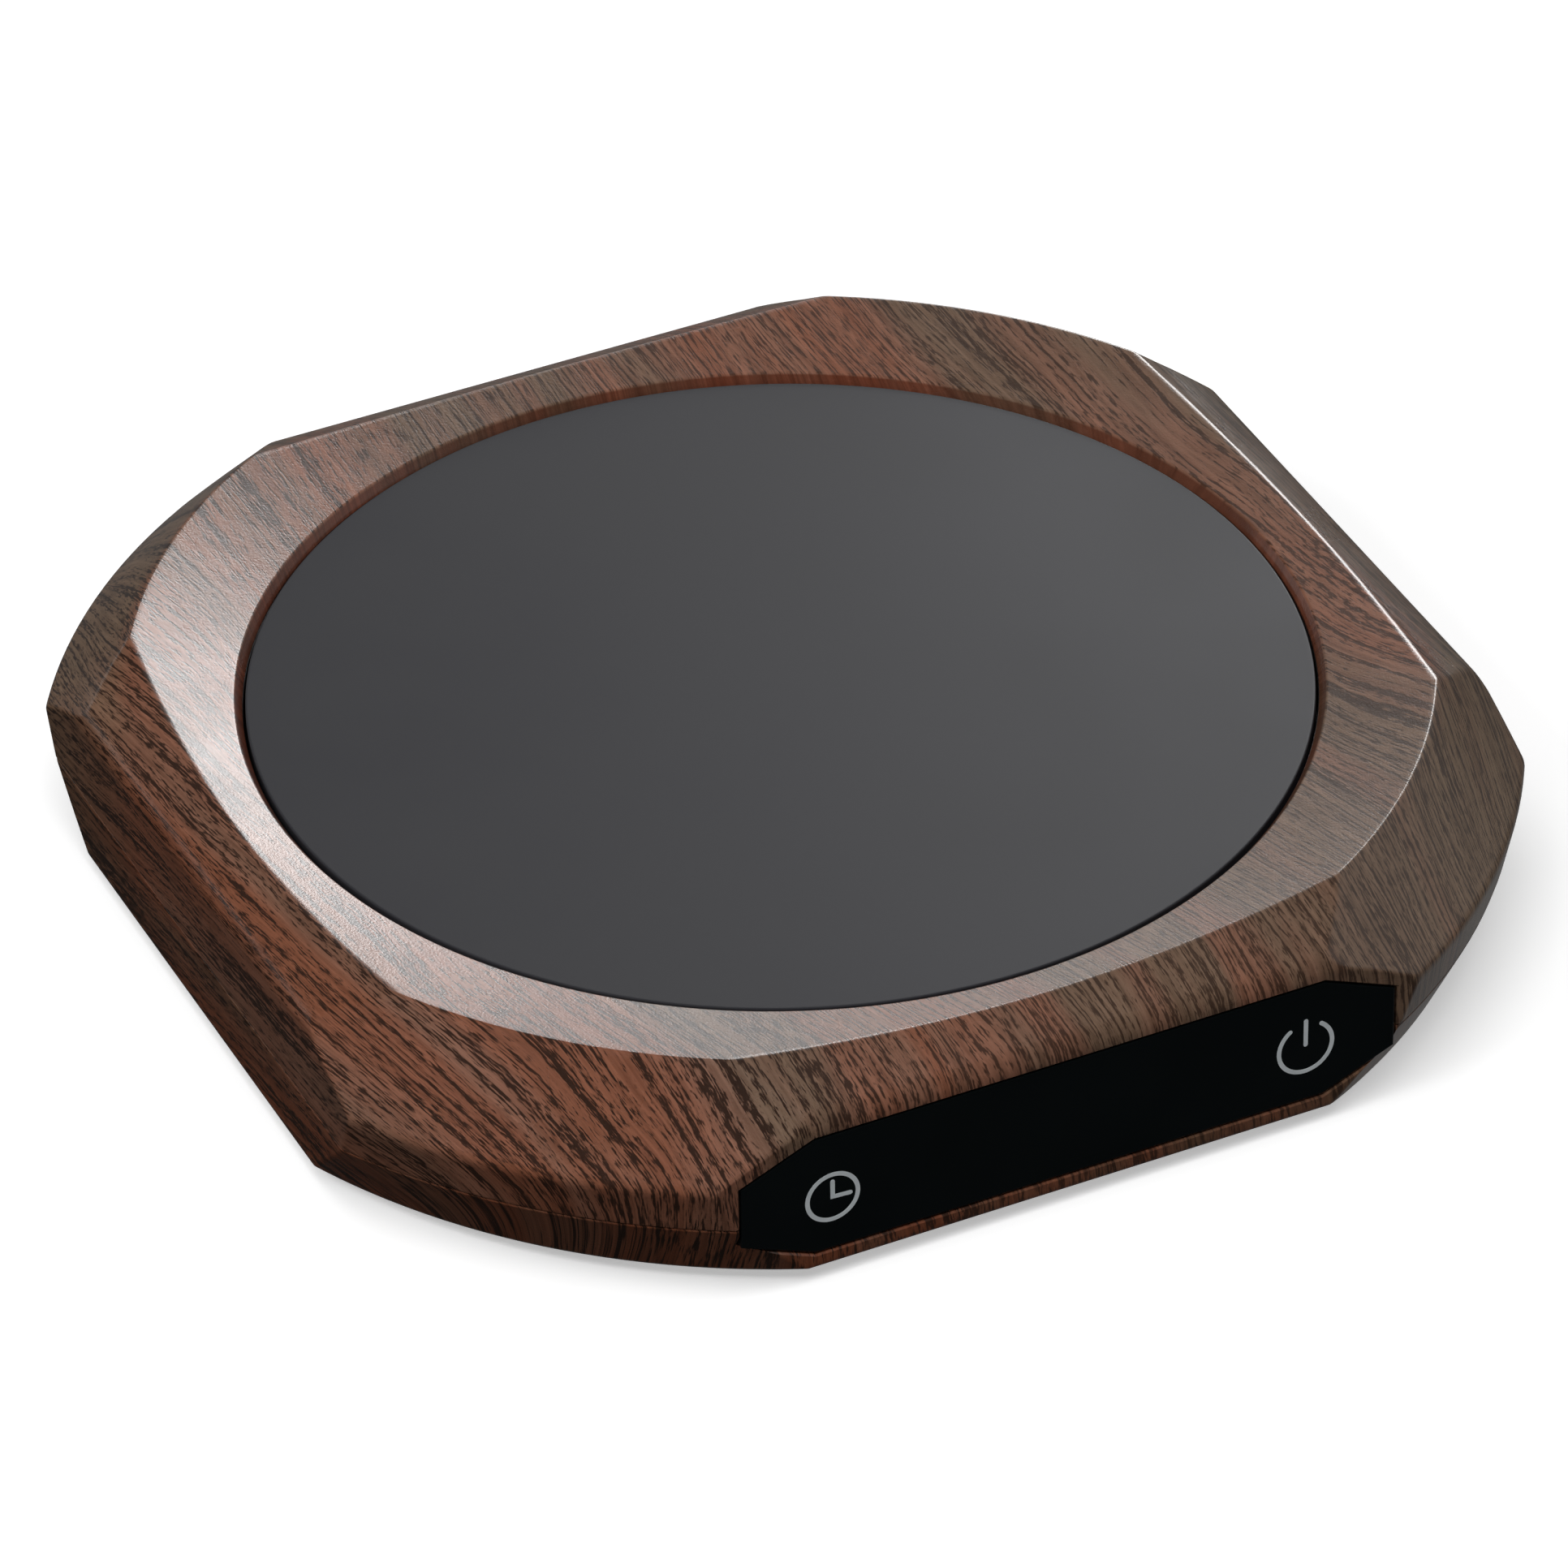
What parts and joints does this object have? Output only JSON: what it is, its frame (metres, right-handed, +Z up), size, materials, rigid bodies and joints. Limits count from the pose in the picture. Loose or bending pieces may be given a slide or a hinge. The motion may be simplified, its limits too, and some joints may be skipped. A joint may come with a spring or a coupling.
{
  "type": "electric mug warmer",
  "caption": "Faceted wood-finished mug warmer with a round black glass heating plate, a smoked touch window in the front wall and a low-voltage power inlet.",
  "frame": {"origin": "middle of the body, in the plane where the rubber feet stand", "axes": "+Z up, -Y out of the front wall with the window, +Y out of the back wall with the power inlet"},
  "size_m": [0.12, 0.12, 0.0219],
  "materials": {
    "walnut_film": "satin wood-effect film over moulded plastic",
    "walnut_film_dark": "satin wood-effect film over moulded plastic",
    "black_glass": "polished, printed black underneath",
    "silicone_black": "matt",
    "spreader_aluminium": "rolled sheet",
    "mica": "pressed mica sheet",
    "resistance_alloy": "rolled strip",
    "mineral_pad": "felted mineral fibre",
    "tray_steel": "zinc-plated sheet",
    "screw_steel": "zinc-plated",
    "sensor_epoxy": "epoxy-coated",
    "fuse_ceramic": "glazed",
    "board_green": "solder mask",
    "chip_black": "moulded epoxy",
    "coil_ferrite": "ferrite",
    "capacitor_aluminium": "sleeved can",
    "connector_white": "moulded",
    "heater_wire_red": "silicone sleeve",
    "sensor_wire_white": "silicone sleeve",
    "cable_black": "sleeved",
    "pad_rubber": "conductive rubber",
    "display_black": "moulded",
    "window_smoke": "polished, smoked",
    "tape_black": "foam tape",
    "inlet_plastic": "moulded",
    "pin_brass": "plated",
    "foot_rubber": "matt"
  },
  "bodies": {
    "root": {"top_shell": "walnut_film", "base_cover": "walnut_film_dark", "glass_plate": "black_glass", "plate_seal": "silicone_black", "heat_spreader": "spreader_aluminium", "mica_sheet_upper": "mica", "heating_track": "resistance_alloy", "mica_sheet_lower": "mica", "insulation_pad": "mineral_pad", "clamp_tray": "tray_steel", "clamp_screws": "screw_steel", "temperature_sensor": "sensor_epoxy", "thermal_fuse": "fuse_ceramic", "control_board": "board_green", "board_screws": "screw_steel", "controller_chip": "chip_black", "power_transistor": "chip_black", "inductor": "coil_ferrite", "capacitors": "capacitor_aluminium", "chip_resistors": "chip_black", "buzzer": "chip_black", "wire_sockets": "connector_white", "wire_plugs": "connector_white", "heater_leads": "heater_wire_red", "sensor_leads": "sensor_wire_white", "display_cable": "cable_black", "touch_board": "board_green", "touch_board_screws": "screw_steel", "touch_pads": "pad_rubber", "led_display": "display_black", "front_window": "window_smoke", "window_tape": "tape_black", "dc_inlet": "inlet_plastic", "inlet_pin": "pin_brass", "case_screws": "screw_steel", "rubber_feet": "foot_rubber"}
  },
  "joints": []
}
